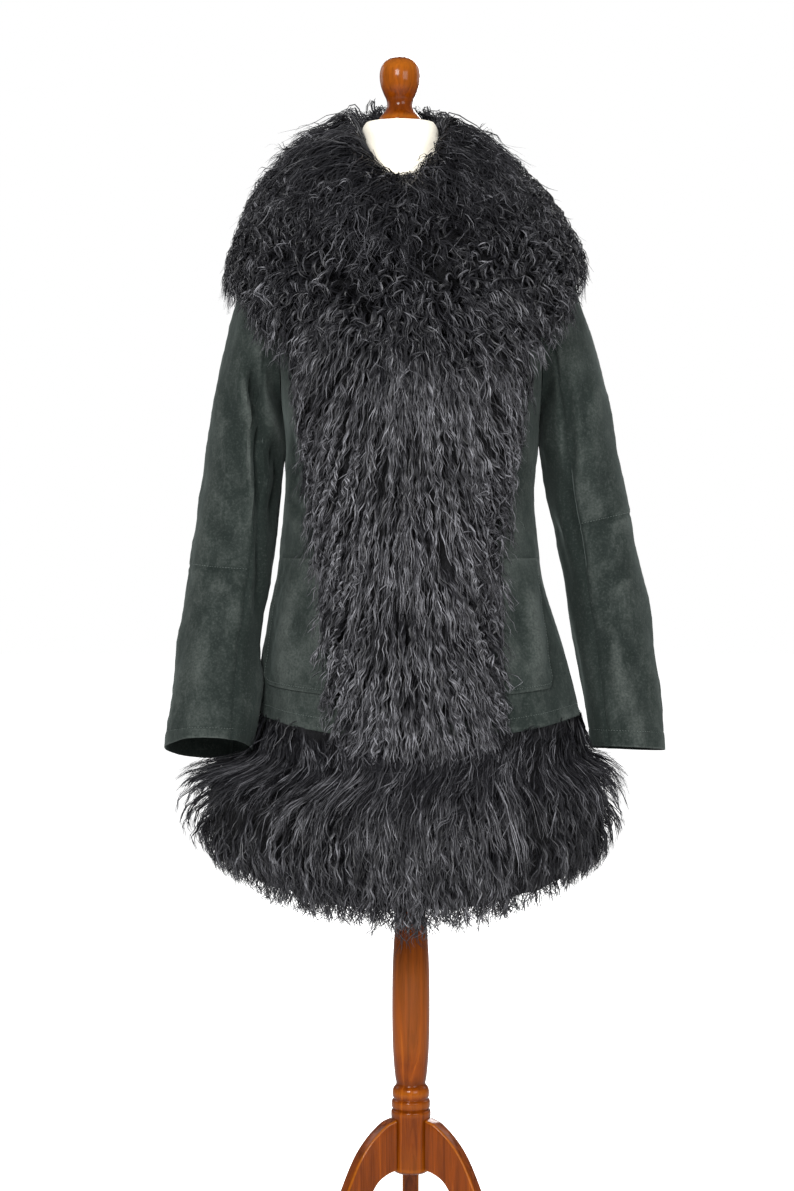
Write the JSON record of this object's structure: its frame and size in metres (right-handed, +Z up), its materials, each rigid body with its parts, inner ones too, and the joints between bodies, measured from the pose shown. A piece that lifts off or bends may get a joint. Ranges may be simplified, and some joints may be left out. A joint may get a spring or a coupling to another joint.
{
  "type": "fur-trimmed suede coat on a dress form and stand",
  "caption": "Dark green suede coat with a curly lamb collar, fronts and hem, worn by a limbless dress form on a turned wooden stand.",
  "frame": {"origin": "centre of the whole part's footprint, on the floor", "axes": "+Z up along the stand's column; the coat's front faces -Y; +X is the wearer's left"},
  "size_m": [0.5824, 0.4409, 1.5204],
  "materials": {
    "suede": "dark bottle-green suede, brushed nap",
    "fur": "long charcoal curly lamb",
    "jersey": "cream jersey cover, stretched smooth",
    "wood": "reddish-brown stain under gloss varnish"
  },
  "bodies": {
    "root": {"front_left": "suede", "front_right": "suede", "back": "suede", "pocket_left": "suede", "pocket_right": "suede", "sleeve_left_top_upper": "suede", "sleeve_left_top_lower": "suede", "sleeve_left_under": "suede", "sleeve_right_top_upper": "suede", "sleeve_right_top_lower": "suede", "sleeve_right_under": "suede", "fur_collar_left": "fur", "fur_collar_right": "fur", "fur_front_left": "fur", "fur_front_right": "fur", "fur_hem_front_left": "fur", "fur_hem_front_right": "fur", "fur_hem_back": "fur", "torso": "jersey", "knob": "wood", "column": "wood", "leg_back": "wood", "leg_left": "wood", "leg_right": "wood"}
  },
  "joints": []
}
